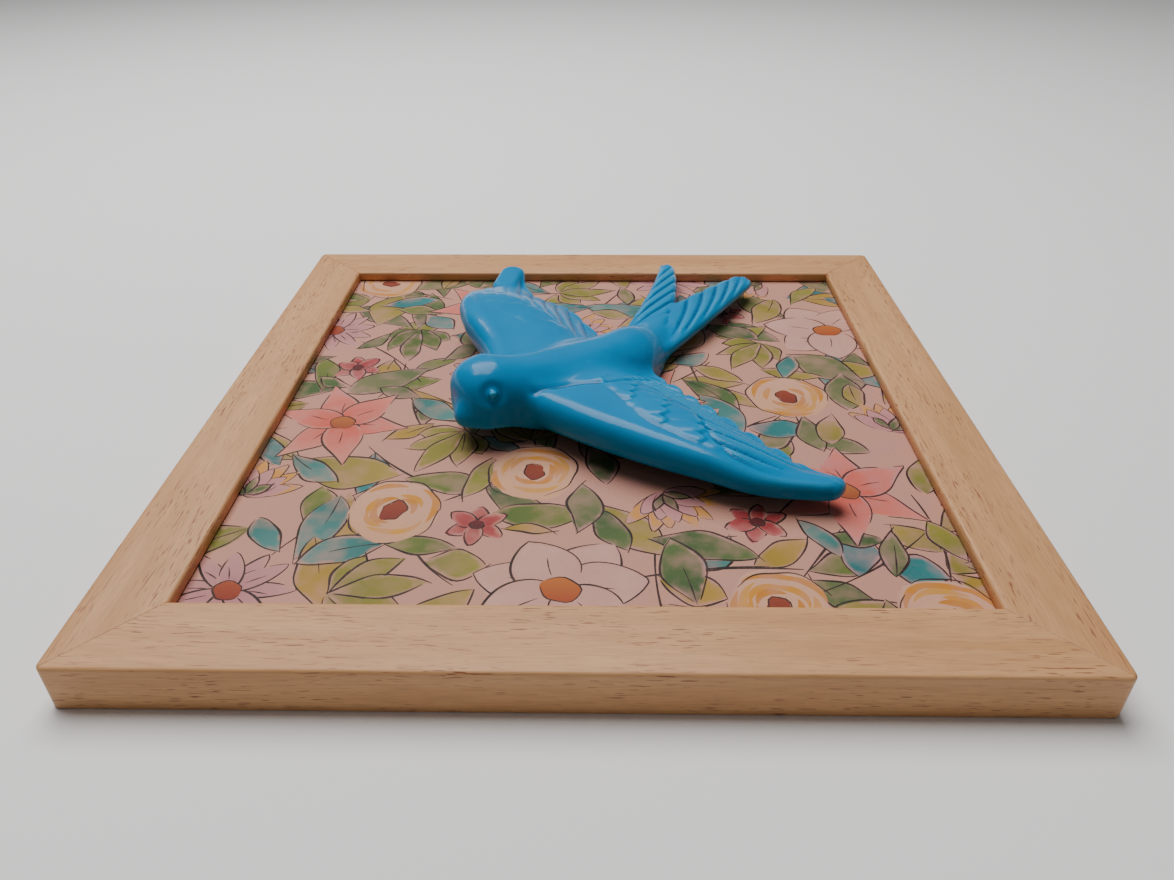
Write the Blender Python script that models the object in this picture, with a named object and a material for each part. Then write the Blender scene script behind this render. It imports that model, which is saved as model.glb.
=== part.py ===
"""A square panel with a printed floral picture, in a mitred wooden frame, with a glazed ceramic swallow on its face.

The part lies on its back: +Z points out of the picture, +Y up the picture, and the origin is the middle of the back.
"""

import math

import bpy
import bmesh
import numpy as np
from mathutils import Matrix

# Driving dimensions of the frame and the panel, in metres
FRAME_SIDE = 0.230
RAIL_WIDTH = 0.0204
RAIL_DEPTH = 0.0125
PANEL_RECESS = 0.00375
RABBET_WIDTH = 0.0050
CORNER_RADIUS = 0.0020
OUTER_ROUND = 0.0009
INNER_ROUND = 0.0009
FIT_GAP = 0.0003

# The swallow's room: what its longest reach leaves free on each side of the opening, and its gap to the panel
SWALLOW_MARGIN = 0.0018
SWALLOW_SEAT = 0.0003

# The skin of the swallow: the grid that it is worked out on, and the share of its faces that is kept
SKIN_CELL = 0.00085
SKIN_KEPT = 0.12

# Sizes that follow from the ones above
FRAME_HALF = FRAME_SIDE / 2
OPENING_HALF = FRAME_HALF - RAIL_WIDTH
PANEL_FACE = RAIL_DEPTH - PANEL_RECESS
RABBET_WALL = RAIL_WIDTH - RABBET_WIDTH
PANEL_SIDE = 2 * (FRAME_HALF - RABBET_WALL - FIT_GAP)

# The swallow is drawn in millimetres, in an opening this far from middle to edge less the margin
DRAWN_REACH = 92.8
SWALLOW_UNIT = (OPENING_HALF - SWALLOW_MARGIN) / DRAWN_REACH


def clear_scene():
    for thing in list(bpy.data.objects):
        bpy.data.objects.remove(thing, do_unlink=True)


def finish(name, colour, roughness, coat=0.0):
    """A Principled material in one colour."""
    material = bpy.data.materials.new(name)
    material.use_nodes = True
    shader = material.node_tree.nodes["Principled BSDF"]
    shader.inputs["Base Color"].default_value = (*colour, 1.0)
    shader.inputs["Roughness"].default_value = roughness
    shader.inputs["Coat Weight"].default_value = coat
    return material


def add_object(name, mesh, material):
    mesh.materials.append(material)
    thing = bpy.data.objects.new(name, mesh)
    bpy.context.scene.collection.objects.link(thing)
    return thing


# The frame: four mitred rails of one moulding

def arc(centre, radius, start, end, steps=4):
    """Points of a round edge in the moulding's section, from one angle to another, in degrees."""
    angles = np.radians(np.linspace(start, end, steps + 1))
    return [(centre[0] + radius * math.cos(a), centre[1] + radius * math.sin(a)) for a in angles]


def rail_section(spare):
    """The moulding's section: distance in from the frame's outer side, and height.

    It runs past the frame's outer side, top and back by the spare length, which the frame's block cuts off.
    """
    lip_under = PANEL_FACE + FIT_GAP
    round_edge = arc((RAIL_WIDTH - INNER_ROUND, RAIL_DEPTH - INNER_ROUND), INNER_ROUND, 0, 90)
    return (
        [(-spare, -spare), (RABBET_WALL, -spare), (RABBET_WALL, lip_under), (RAIL_WIDTH, lip_under)]
        + round_edge
        + [(RAIL_WIDTH - INNER_ROUND, RAIL_DEPTH + spare), (-spare, RAIL_DEPTH + spare)]
    )


def frame_block():
    """The whole frame's outer shape, with round corners and edges, which each rail is trimmed to."""
    bm = bmesh.new()
    bmesh.ops.create_cube(bm, size=1.0)
    bmesh.ops.scale(bm, vec=(FRAME_SIDE, FRAME_SIDE, RAIL_DEPTH), verts=bm.verts)
    bmesh.ops.translate(bm, vec=(0, 0, RAIL_DEPTH / 2), verts=bm.verts)
    upright = [e for e in bm.edges if abs(e.verts[0].co.z - e.verts[1].co.z) > RAIL_DEPTH / 2]
    bmesh.ops.bevel(bm, geom=upright, offset=CORNER_RADIUS, segments=5, profile=0.5, affect="EDGES")
    rim = [e for e in bm.edges if abs(e.verts[0].co.z - e.verts[1].co.z) < RAIL_DEPTH / 2]
    bmesh.ops.bevel(bm, geom=rim, offset=OUTER_ROUND, segments=3, profile=0.5, affect="EDGES")
    mesh = bpy.data.meshes.new("frame_block")
    bm.to_mesh(mesh)
    bm.free()
    block = bpy.data.objects.new("frame_block", mesh)
    bpy.context.scene.collection.objects.link(block)
    block.hide_render = True
    block.display_type = "WIRE"
    return block


def rail_mesh(name, quarter):
    """One mitred length of the moulding, turned by so many quarter turns about the middle of the frame."""
    spare = 2 * FIT_GAP
    section = rail_section(spare)
    bm = bmesh.new()
    ends = []
    for side in (-1, 1):
        ring = []
        for inward, height in section:
            along = side * (FRAME_HALF - inward - FIT_GAP / math.sqrt(2))
            ring.append(bm.verts.new((along, inward - FRAME_HALF, height)))
        ends.append(ring)
    count = len(section)
    for i in range(count):
        j = (i + 1) % count
        bm.faces.new((ends[0][i], ends[0][j], ends[1][j], ends[1][i]))
    bm.faces.new(list(reversed(ends[0])))
    bm.faces.new(ends[1])
    turn = Matrix.Rotation(math.radians(90 * quarter), 3, "Z")
    bmesh.ops.rotate(bm, verts=bm.verts, cent=(0, 0, 0), matrix=turn)
    bmesh.ops.recalc_face_normals(bm, faces=bm.faces)
    mesh = bpy.data.meshes.new(name)
    bm.to_mesh(mesh)
    bm.free()
    return mesh


def add_frame():
    block = frame_block()
    wood = finish("pale_wood", (0.62, 0.43, 0.26), 0.5)
    for quarter, name in enumerate(("rail_front", "rail_right", "rail_back", "rail_left")):
        rail = add_object(name, rail_mesh(name, quarter), wood.copy())
        trim = rail.modifiers.new("trim_to_frame", "BOOLEAN")
        trim.operation = "INTERSECT"
        trim.solver = "EXACT"
        trim.object = block


# The panel: one flat square piece, seated in the rabbet with its back flush with the frame's back

def add_panel():
    bm = bmesh.new()
    bmesh.ops.create_cube(bm, size=1.0)
    bmesh.ops.scale(bm, vec=(PANEL_SIDE, PANEL_SIDE, PANEL_FACE), verts=bm.verts)
    bmesh.ops.translate(bm, vec=(0, 0, PANEL_FACE / 2), verts=bm.verts)
    mesh = bpy.data.meshes.new("tile_panel")
    bm.to_mesh(mesh)
    bm.free()
    add_object("tile_panel", mesh, finish("printed_panel", (0.52, 0.33, 0.29), 0.6))


# The swallow: one cast body, given by how far a point lies outside it
#
# It is drawn in millimetres. s runs from the head to the tail, t across the body towards its left wing, and h is the
# height above the panel. Its head lies at the left of the picture and the body points up and to the right.

BODY_TURN = math.radians(36.0)
HEAD_PLACE = (-28.0, -16.0)

# The body at these places along s: how far it bends aside, the height of its middle and its radius. Then how blunt
# the head is, how high its underside lies and where that comes down to the panel, the edge of the back over the
# tail (its place, slant and bend) and its step, and how steep and flat the body's section is
BODY_S = (0, 10, 24, 40, 55, 66, 78)
BODY_ASIDE = (-0.6, 1.0, 1.0, -0.7, -3.8, -9.0, -17.0)
BODY_HEIGHT = (13.5, 10.4, 7.5, 6.0, 4.6, 3.2, 3.0)
BODY_RADIUS = (11.5, 11.9, 13.0, 12.3, 11.2, 8.3, 5.0)
HEAD_BLUNT = 2.6
HEAD_UNDER = 6.6
NECK_S = (-6, 18)
RUMP_EDGE = (62.5, 0.45, 0.03)
RUMP_STEP = 0.8
BODY_STEEP = (0.3, 0.4)
BODY_FLAT = 0.92
BEAK = (-11.0, 2.3, 9.6)
BEAK_RADIUS = 2.9
EYES = ((-5.0, 9.3, 18.0), (-3.4, -10.6, 15.4))
EYE_RADIUS = 1.7

# Each wing at these places out from the body: its leading and trailing edge, and the height of each.
# The left wing is the one nearer the viewer, and the right wing is bent further back at the wrist.
WING_OUT = (0, 22, 44, 62, 76, 87)
LEFT_WING = {
    "lead": (8.0, 13.8, 22.0, 31.3, 40.0, 52.4),
    "trail": (51.0, 51.0, 50.5, 51.8, 53.0, 54.2),
    "lead_height": (10.0, 10.3, 10.0, 8.9, 6.8, 6.2),
    "trail_height": (6.4, 5.4, 6.1, 5.1, 5.2, 6.0),
    "tip": 84.6,
    "tip_end": (52.4, 85.0, 6.1),
    "tip_flat": 0.5,
    "carved": 1.0,
}
RIGHT_WING = {
    "lead": (6.0, 15.6, 19.5, 28.3, 46.8, 58.5),
    "trail": (50.0, 51.8, 55.0, 52.5, 56.2, 60.5),
    "lead_height": (10.0, 11.5, 13.6, 10.6, 4.2, 7.0),
    "trail_height": (6.4, 6.5, 6.0, 5.0, 4.6, 6.6),
    "tip": 82.0,
    "tip_end": (56.6, 83.6, 6.6),
    "tip_flat": 2.2,
    "carved": 0.35,
}
LEAD_ROLL = (6.2, 6.1, 5.5, 4.5, 3.2, 2.6)
TRAIL_THIN = 1.5
TIP_THICK = 2.5
TIP_BLEND = 0.8
EDGE_BLUNT = 2.4
CAMBER = (3.3, 2.6, 0.1)
WING_ROOT_BLEND = 3.2
TAIL_ROOT_BLEND = 4.0
FORK_BLEND = 2.0
UNDER_ROUND = 1.2

# The groove round the upper arm at these places along s: how far out from the middle of the back, and its depth
ARM_S = (5, 12, 20, 28, 34, 42, 51)
ARM_OUT = (11.0, 12.0, 14.3, 18.8, 20.3, 19.6, 17.0)
ARM_GROOVE = 0.6

# The fork of the tail: where each half starts, which way it points, its length, bow, half widths and heights
LEFT_FORK = {"start": (58.9, -7.4), "turn": -16.3, "length": 73.0, "bow": 1.0, "wide": (9.2, 8.0, 4.1)}
RIGHT_FORK = {"start": (59.5, -9.0), "turn": -41.5, "length": 70.5, "bow": 3.0, "wide": (8.2, 5.9, 2.9)}
FORK_HEIGHT = (3.6, 6.6, 5.7)
FORK_THICK = (2.3, 1.5)

# Carving fades in between these places out from the body, and out between these lengths from the tip
CARVE_FROM = (12, 20)
CARVE_TO_TIP = (20, 4)
# Long quills: how far apart, how deep, how far they lean outwards for each step back, near the body and at the tip,
# how far behind the leading edge they start, and how far their ends stand out of the trailing edge
QUILL_PITCH = 8.4
QUILL_DEPTH = 1.25
QUILL_LEAN = (1.9, 1.5)
QUILL_START = (25, 24, 17.0, 2.5, 0.5, 0.5)
QUILL_NOTCH = 1.1
# Short feathers: how wide and long, how high, how far they lean, how far behind the leading edge they start, and
# between which places out from the body they end
SCALE_PITCH = (5.4, 8.4)
SCALE_DEPTH = 1.2
SCALE_LEAN = 1.4
SCALE_START = (14, 11, 2.5, 0, 0, 0)
SCALE_TO = (60, 66)
# Barbs of the tail: how far apart, how deep, how far they slant back for each step in and how much they bend
BARB_PITCH = 12.5
BARB_DEPTH = 1.3
BARB_SLANT = (4.2, 0.1)


def blend(a, b, reach):
    """The lower of two distances, rounded over where they come within reach of each other."""
    share = np.clip(0.5 + 0.5 * (b - a) / reach, 0, 1)
    return b * (1 - share) + a * share - reach * share * (1 - share)


def ramp(start, end, x):
    """0 before start, 1 after end, and smooth between."""
    share = np.clip((x - start) / (end - start), 0, 1)
    return share * share * (3 - 2 * share)


def along(x, places, values):
    """A smooth curve through the values at the places, level with the neighbours' slope at each."""
    places = np.asarray(places, float)
    values = np.asarray(values, float)
    slopes = np.gradient(values, places)
    x = np.clip(x, places[0], places[-1])
    i = np.clip(np.searchsorted(places, x, side="right") - 1, 0, len(places) - 2)
    width = places[i + 1] - places[i]
    p = (x - places[i]) / width
    return (
        (2 * p**3 - 3 * p**2 + 1) * values[i]
        + (p**3 - 2 * p**2 + p) * width * slopes[i]
        + (3 * p**2 - 2 * p**3) * values[i + 1]
        + (p**3 - p**2) * width * slopes[i + 1]
    )


def ball(s, t, h, centre, radius):
    """Distance outside a ball."""
    return np.sqrt((s - centre[0])**2 + (t - centre[1])**2 + (h - centre[2])**2) - radius


def ridges(turns):
    """Round ridges with a narrow groove between them, one to each whole turn, fuller towards its front."""
    part = (turns - np.floor(turns))**0.8
    return 1 - np.abs(2 * part - 1)**2.4


def scales(across, back):
    """Rows of round feathers, each row set half a feather aside, each rising to its end over the row behind it."""
    round_end = 0.8
    height = 0
    for row in (np.floor(back) - 1, np.floor(back), np.floor(back) + 1):
        aside = across - 0.5 * np.mod(row, 2)
        aside = aside - np.round(aside)
        past = back - row
        on_it = ramp(-0.16, 0.12, round_end - np.sqrt(aside**2 + past**2))
        dome = 1 - 0.5 * (aside / round_end)**2
        height = np.maximum(height, on_it * dome * (0.15 + 0.45 * (1 + past / round_end)))
    return height


def body(s, t, h):
    """A round body carried along a bent line, its head end a blunt half ball, and steeper below its middle."""
    middle = along(s, BODY_S, BODY_HEIGHT)
    steep = BODY_STEEP[0] + (BODY_STEEP[1] - BODY_STEEP[0]) * ramp(5, 20, s)
    rise = np.where(h > middle, h - middle, (middle - h) * steep) / BODY_FLAT
    aside = t - along(s, BODY_S, BODY_ASIDE)
    before = np.maximum(-s, 0)
    after = np.maximum(s - BODY_S[-1], 0)
    round_it = np.sqrt(aside**2 + rise**2 + after**2)
    tube = (round_it**HEAD_BLUNT + before**HEAD_BLUNT)**(1 / HEAD_BLUNT) - along(s, BODY_S, BODY_RADIUS)
    # the end of the back feathers, lying over the root of the tail
    back_end = RUMP_EDGE[0] + RUMP_EDGE[1] * aside - RUMP_EDGE[2] * aside**2
    over_tail = (1 - ramp(back_end - 0.4, back_end + 0.4, s)) * ramp(RUMP_EDGE[0] - 18, RUMP_EDGE[0] - 4, s)
    return tube - RUMP_STEP * over_tail


def head_details(d, s, t, h):
    """The beak, and on each side an eye in a soft hollow."""
    d = blend(d, ball(s, t, h, BEAK, BEAK_RADIUS), BEAK_RADIUS)
    for eye in EYES:
        off = ball(s, t, h, eye, 0)
        d = d + 0.55 * np.exp(-(((off - 2.6) / 1.3)**2)) + 0.25 * np.exp(-((off / 5.0)**2))
        d = blend(d, off - EYE_RADIUS + 0.7, 0.4)
    return d


def wing(s, out, h, shape):
    """A rolled leading edge thinning to the trailing edge, its section carried out from the body to a round tip."""
    tip = shape["tip"]
    v = np.minimum(out, tip)
    lead = along(v, WING_OUT, shape["lead"])
    trail = along(v, WING_OUT, shape["trail"])
    lean = QUILL_LEAN[0] + (QUILL_LEAN[1] - QUILL_LEAN[0]) * ramp(20, 75, v)
    quill = (v - lean * (np.minimum(s, trail) - 50)) / QUILL_PITCH
    part = quill - np.floor(quill)
    on_wing = ramp(*CARVE_FROM, v) * (1 - ramp(tip - CARVE_TO_TIP[0], tip - CARVE_TO_TIP[1], v))
    notch = QUILL_NOTCH * shape["carved"] * (2 * part - 1)**4 * on_wing
    width = np.maximum(trail - lead - notch, 0.5)
    share = np.clip((s - lead) / width, 0, 1)
    roll = along(v, WING_OUT, LEAD_ROLL)
    thin = TRAIL_THIN + (TIP_THICK - TRAIL_THIN) * ramp(tip - 10, tip, v)
    front = along(v, WING_OUT, shape["lead_height"])
    rear = along(v, WING_OUT, shape["trail_height"])
    crown = 16 * share**2 * (1 - share)**2 * along(v, (0, 45, 90), CAMBER)
    middle = front + (rear - front) * share + crown
    thick = roll + (thin - roll) * share**1.3
    off = (np.abs(s - lead - share * width), np.abs(h - middle), out - v)
    d = sum(part**EDGE_BLUNT for part in off)**(1 / EDGE_BLUNT) - thick
    # carving on the upper side: long quills to the trailing edge, and rows of short feathers in front of them
    behind = s - lead
    upper = ramp(-0.5, 1.5, h - middle)
    start = along(v, WING_OUT, QUILL_START)
    quills = (ridges(quill) - 0.4) * QUILL_DEPTH * ramp(start, start + 1.2, behind)
    steep = math.atan(SCALE_LEAN)
    over = (v * math.cos(steep) - behind * math.sin(steep)) / SCALE_PITCH[0]
    back = (v * math.sin(steep) + behind * math.cos(steep)) / SCALE_PITCH[1]
    first = along(v, WING_OUT, SCALE_START)
    short = scales(over, back) * SCALE_DEPTH * (1 - ramp(*SCALE_TO, v))
    short = short * ramp(first, first + 2.5, behind) * (1 - ramp(start - 0.5, start + 1.0, behind))
    d = d - upper * (quills + short) * on_wing * shape["carved"]
    # a round flat lobe makes the end
    s_end, out_end, h_end = shape["tip_end"]
    aside = np.maximum(np.sqrt((s - s_end)**2 + (out - out_end)**2) - shape["tip_flat"], 0)
    return blend(d, np.sqrt(aside**2 + (h - h_end)**2) - TIP_THICK, TIP_BLEND)


def fork(s, t, h, shape, inner):
    """A flat blade with a round end, bowed a little, with slanting barbs from its outer edge to its inner one."""
    turn = math.radians(shape["turn"])
    forward = (s - shape["start"][0]) * math.cos(turn) + (t - shape["start"][1]) * math.sin(turn)
    aside = (t - shape["start"][1]) * math.cos(turn) - (s - shape["start"][0]) * math.sin(turn)
    share = np.clip(forward / shape["length"], 0, 1)
    aside = aside - shape["bow"] * 4 * share * (1 - share)
    wide = along(share, (0, 0.45, 1), shape["wide"])
    middle = along(share, (0, 0.5, 1), FORK_HEIGHT)
    thick = FORK_THICK[0] + (FORK_THICK[1] - FORK_THICK[0]) * share
    past = np.maximum(forward - (shape["length"] - wide), 0)
    before = np.maximum(-forward, 0)
    flat = np.maximum(np.sqrt(aside**2 + past**2) - (wide - thick), 0)
    d = np.sqrt(flat**2 + (h - middle)**2 + before**2) - thick
    inward = inner * aside
    slant = forward - BARB_SLANT[0] * (inward + wide) + BARB_SLANT[1] * (inward + wide)**2
    barbs = (ridges(slant / BARB_PITCH) - 0.4) * BARB_DEPTH * ramp(-0.4, 1.0, h - middle)
    barbs = barbs * ramp(0.16, 0.3, share) * (1 - 0.7 * ramp(0.8, 1, share))
    barbs = barbs * ramp(-wide * 0.95, -wide * 0.55, inward) * (1 - 0.6 * ramp(wide * 0.5, wide, inward))
    return d - barbs


def swallow(s, t, h):
    """How far a point lies outside the swallow, below zero inside it."""
    d = head_details(body(s, t, h), s, t, h)
    left = wing(s, np.maximum(t, 0), h, LEFT_WING)
    left = np.where(t < 0, np.maximum(left, -t), left)
    right = wing(s, np.maximum(-t, 0), h, RIGHT_WING)
    right = np.where(t > 0, np.maximum(right, t), right)
    d = blend(d, np.minimum(left, right), WING_ROOT_BLEND)
    tail = blend(fork(s, t, h, LEFT_FORK, -1), fork(s, t, h, RIGHT_FORK, 1), FORK_BLEND)
    d = blend(d, tail, TAIL_ROOT_BLEND)
    # a groove round the upper arm of the left wing
    side = t - along(s, BODY_S, BODY_ASIDE) - along(s, ARM_S, ARM_OUT)
    groove = np.exp(-((side / 1.1)**2)) * ramp(ARM_S[0] - 1, ARM_S[1] - 4, s) * (1 - ramp(46, 53, s))
    d = d + ARM_GROOVE * groove * ramp(8, 11, h) * ramp(-2, 2, t)
    under = HEAD_UNDER * (1 - ramp(*NECK_S, s))
    return -blend(-d, h - under, UNDER_ROUND)


def placed_swallow(x, y, z):
    """The same distance for points in metres in the part's own frame."""
    x, y = x / SWALLOW_UNIT - HEAD_PLACE[0], y / SWALLOW_UNIT - HEAD_PLACE[1]
    h = (z - PANEL_FACE - SWALLOW_SEAT) / SWALLOW_UNIT
    cos, sin = math.cos(BODY_TURN), math.sin(BODY_TURN)
    return swallow(x * cos + y * sin, x * sin - y * cos, h) * SWALLOW_UNIT


def fill_crossings(value, cell):
    """Fills each face of the grid whose corners are in and out by turns, where two surfaces would share an edge."""
    for first, second in ((0, 1), (0, 2), (1, 2)) * 3:
        plane = np.moveaxis(value, (first, second), (0, 1))
        inside = plane < 0
        corner, opposite = inside[:-1, :-1], inside[1:, 1:]
        beside, across = inside[1:, :-1], inside[:-1, 1:]
        by_turns = (corner == opposite) & (beside == across) & (corner != beside)
        rows, columns = by_turns.shape[:2]
        for i, j in ((0, 0), (1, 0), (0, 1), (1, 1)):
            part = plane[i:rows + i, j:columns + j]
            part[by_turns] = np.minimum(part[by_turns], -0.05 * cell)


def skin(field, low, high, cell):
    """A closed mesh round the places where the field is below zero: its points and its four-sided faces.

    The box from low to high is cut into cells, and the field is evened out between neighbours, so that no detail is
    finer than a cell. Each cell that the surface passes through gets one point, the mean of where the surface crosses
    the cell's edges, and each crossed edge gets one face between the four cells round it.
    """
    low = np.asarray(low, float)
    axes = [np.arange(low[i], high[i] + cell, cell) for i in range(3)]
    value = field(*np.meshgrid(*axes, indexing="ij"))
    for axis in range(3):
        value = (np.roll(value, 1, axis) + 2 * value + np.roll(value, -1, axis)) / 4
    fill_crossings(value, cell)
    cells = tuple(n - 1 for n in value.shape)
    total = np.zeros(cells + (3,))
    hits = np.zeros(cells)
    crossings = []
    for axis in range(3):
        first = np.moveaxis(value, axis, 0)[:-1]
        second = np.moveaxis(value, axis, 0)[1:]
        crossed = (first < 0) != (second < 0)
        i, j, k = np.nonzero(crossed)
        part = first[i, j, k] / (first[i, j, k] - second[i, j, k])
        others = [a for a in range(3) if a != axis]
        node = np.zeros((len(i), 3), int)
        node[:, axis], node[:, others[0]], node[:, others[1]] = i, j, k
        point = low + node * cell
        point[:, axis] += part * cell
        around = []
        for back in ((1, 1), (0, 1), (0, 0), (1, 0)):
            corner = node.copy()
            corner[:, others[0]] -= back[0]
            corner[:, others[1]] -= back[1]
            around.append(corner)
            np.add.at(total, tuple(corner.T), point)
            np.add.at(hits, tuple(corner.T), 1)
        flipped = (first[i, j, k] < 0) ^ (axis == 1)
        crossings.append((np.stack(around, 1), flipped))
    number = np.full(cells, -1)
    used = hits > 0
    number[used] = np.arange(used.sum())
    points = total[used] / hits[used][:, None]
    faces = []
    for around, flipped in crossings:
        quad = number[around[..., 0], around[..., 1], around[..., 2]]
        quad[~flipped] = quad[~flipped][:, ::-1]
        faces.append(quad)
    return points, np.concatenate(faces)


def settle(field, points, cell, rounds=3):
    """Moves the points onto the surface, each along the field's slope and by less than half a cell a round."""
    probe = cell * 0.1
    for _ in range(rounds):
        slope = np.stack([
            field(*(points + step).T) - field(*(points - step).T) for step in np.eye(3) * probe
        ], 1) / (2 * probe)
        off = field(*points.T)[:, None] / np.maximum((slope**2).sum(1), 0.25)[:, None]
        points = points - np.clip(off * slope, -cell / 2, cell / 2)
    return points


def add_swallow():
    reach = DRAWN_REACH * SWALLOW_UNIT
    base = PANEL_FACE + SWALLOW_SEAT
    low = (-0.60 * reach, -0.72 * reach, base - 3 * SKIN_CELL)
    high = (0.84 * reach, 1.10 * reach, base + 0.32 * reach)
    points, faces = skin(placed_swallow, low, high, SKIN_CELL)
    points = settle(placed_swallow, points, SKIN_CELL)
    points[:, 2] = np.maximum(points[:, 2], base)
    mesh = bpy.data.meshes.new("swallow")
    mesh.from_pydata(points.tolist(), [], faces.tolist())
    mesh.shade_smooth()
    bird = add_object("swallow", mesh, finish("turquoise_glaze", (0.0, 0.22, 0.45), 0.12, coat=1.0))
    fewer = bird.modifiers.new("fewer_faces", "DECIMATE")
    fewer.ratio = SKIN_KEPT
    fewer.use_collapse_triangulate = True


clear_scene()
add_frame()
add_panel()
add_swallow()
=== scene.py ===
"""A square printed ceramic panel in a mitred wooden frame, with a glazed ceramic swallow on its face."""

import math

import bpy
import numpy as np
from mathutils import Matrix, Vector
from mathutils.geometry import delaunay_2d_cdt


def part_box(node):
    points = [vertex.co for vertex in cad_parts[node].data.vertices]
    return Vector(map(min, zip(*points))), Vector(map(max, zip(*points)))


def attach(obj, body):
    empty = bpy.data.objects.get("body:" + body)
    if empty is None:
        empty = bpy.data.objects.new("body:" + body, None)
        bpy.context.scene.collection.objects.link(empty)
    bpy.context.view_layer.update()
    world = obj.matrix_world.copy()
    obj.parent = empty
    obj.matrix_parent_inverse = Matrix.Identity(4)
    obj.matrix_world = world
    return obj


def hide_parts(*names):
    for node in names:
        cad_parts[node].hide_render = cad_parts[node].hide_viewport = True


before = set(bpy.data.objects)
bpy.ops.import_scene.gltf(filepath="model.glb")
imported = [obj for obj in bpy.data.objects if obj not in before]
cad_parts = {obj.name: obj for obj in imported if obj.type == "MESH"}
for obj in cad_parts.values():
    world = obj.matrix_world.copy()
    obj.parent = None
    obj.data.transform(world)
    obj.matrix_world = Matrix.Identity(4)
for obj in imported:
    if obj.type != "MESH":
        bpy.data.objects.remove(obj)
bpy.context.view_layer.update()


# The frame: four rails of a pale open-pored hardwood, such as ayous, planed to one moulding, mitred and
# glued. The edges are eased by hand and the wood has one thin coat of clear oil. Its pores stay open, so
# they show as short reddish dashes along each rail.

MM = 0.001
RAILS = ("rail_front", "rail_right", "rail_back", "rail_left")
rail_low, rail_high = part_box("rail_front")
panel_low, panel_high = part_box("tile_panel")
FRAME_HALF = -rail_low.y / MM
RAIL_WIDTH = (rail_high.y - rail_low.y) / MM
RAIL_DEPTH = rail_high.z / MM
PANEL_HALF = panel_high.x / MM
PANEL_FACE = panel_high.z / MM
CORNER_RADIUS = 2.0
EDGE_ROUND = 0.9
BACK_ROUND = 0.3
JOINT_GAP = 0.3
MITRE_LINE = 0.03
MITRE_EASE = 0.12
# the share of a rail's half length with evenly spaced rings, and how far apart the rails lie in the board
EVEN_SHARE = 0.965
BOARD_STEP = (300, 40)


def arc(centre, radius, start, end, steps=5):
    """Points round a centre at one radius, at even angles from start to end, in degrees."""
    angle = np.radians(np.linspace(start, end, steps + 1))
    return np.stack([centre[0] + radius * np.cos(angle), centre[1] + radius * np.sin(angle)], 1)


def moulding():
    """The closed section of a rail with round edges: distance in from the frame's outer side, and height."""
    wall = FRAME_HALF - PANEL_HALF - JOINT_GAP
    lip = PANEL_FACE + JOINT_GAP
    inner, top = RAIL_WIDTH - EDGE_ROUND, RAIL_DEPTH - EDGE_ROUND
    corners = [
        arc((BACK_ROUND, BACK_ROUND), BACK_ROUND, 180, 270, 2),
        np.array([(wall, 0.0), (wall, lip), (RAIL_WIDTH - BACK_ROUND, lip), (RAIL_WIDTH, lip + BACK_ROUND)]),
        arc((inner, top), EDGE_ROUND, 0, 90),
        np.stack([np.linspace(inner, EDGE_ROUND, 12)[1:-1], np.full(10, RAIL_DEPTH)], 1),
        arc((EDGE_ROUND, top), EDGE_ROUND, 90, 180),
        np.stack([np.zeros(5), np.linspace(top, BACK_ROUND, 7)[1:-1]], 1),
    ]
    return np.concatenate(corners)


def rail_points(section, quarter):
    """The section carried along one side of the frame: each of its points runs straight and then through an
    eighth of a circle round the frame's corner, to the mitre. Returns the points and their places in the
    wood, each rail cut from another part of the board."""
    inward, height = section[:, 0], section[:, 1]
    radius = np.maximum(CORNER_RADIUS - inward, 0)
    straight = FRAME_HALF - np.maximum(CORNER_RADIUS, inward)
    length = straight + radius * math.pi / 4 - MITRE_LINE
    near_mitre = np.linspace(0, 1, 9)[1:] ** 0.5
    share = np.concatenate([np.linspace(0, EVEN_SHARE, 110), EVEN_SHARE + (1 - EVEN_SHARE) * near_mitre])
    share = np.concatenate([-share[:0:-1], share])
    s = share[:, None] * length[None, :]
    bend = np.maximum(np.abs(s) - straight, 0) / np.maximum(radius, 1e-6)
    x = np.sign(s) * (np.minimum(np.abs(s), straight) + radius * np.sin(bend))
    y = inward - FRAME_HALF + radius * (1 - np.cos(bend))
    eased = MITRE_EASE * np.exp(-(length - np.abs(s)) / MITRE_EASE) * (height > RAIL_DEPTH / 2)
    z = height - eased
    points = np.stack([x, np.broadcast_to(y, x.shape), np.broadcast_to(z, x.shape)], -1)
    grain = np.stack([s + BOARD_STEP[0] * quarter, y + FRAME_HALF + BOARD_STEP[1] * quarter, z], -1)
    turn = np.array(Matrix.Rotation(math.radians(90 * quarter), 3, "Z"))
    return points @ turn.T, grain


def tube_faces(rings, ring_size):
    """Four-sided faces between neighbouring rings of points, and a flat face at each end."""
    i, j = np.meshgrid(np.arange(rings - 1), np.arange(ring_size), indexing="ij")
    k = (j + 1) % ring_size
    this, after = i * ring_size, (i + 1) * ring_size
    quads = np.stack([this + j, this + k, after + k, after + j], -1)
    first = list(range(ring_size))[::-1]
    last = [(rings - 1) * ring_size + n for n in range(ring_size)]
    return [first] + quads.reshape(-1, 4).tolist() + [last]


def new_piece(name, points, faces, material, smooth=True):
    """A mesh object at the origin, with its place in its mesh, given in millimetres."""
    mesh = bpy.data.meshes.new(name)
    mesh.from_pydata((np.asarray(points).reshape(-1, 3) * MM).tolist(), [], faces)
    mesh.materials.append(material)
    if smooth:
        mesh.shade_smooth()
    piece = bpy.data.objects.new(name, mesh)
    bpy.context.scene.collection.objects.link(piece)
    return piece


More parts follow.
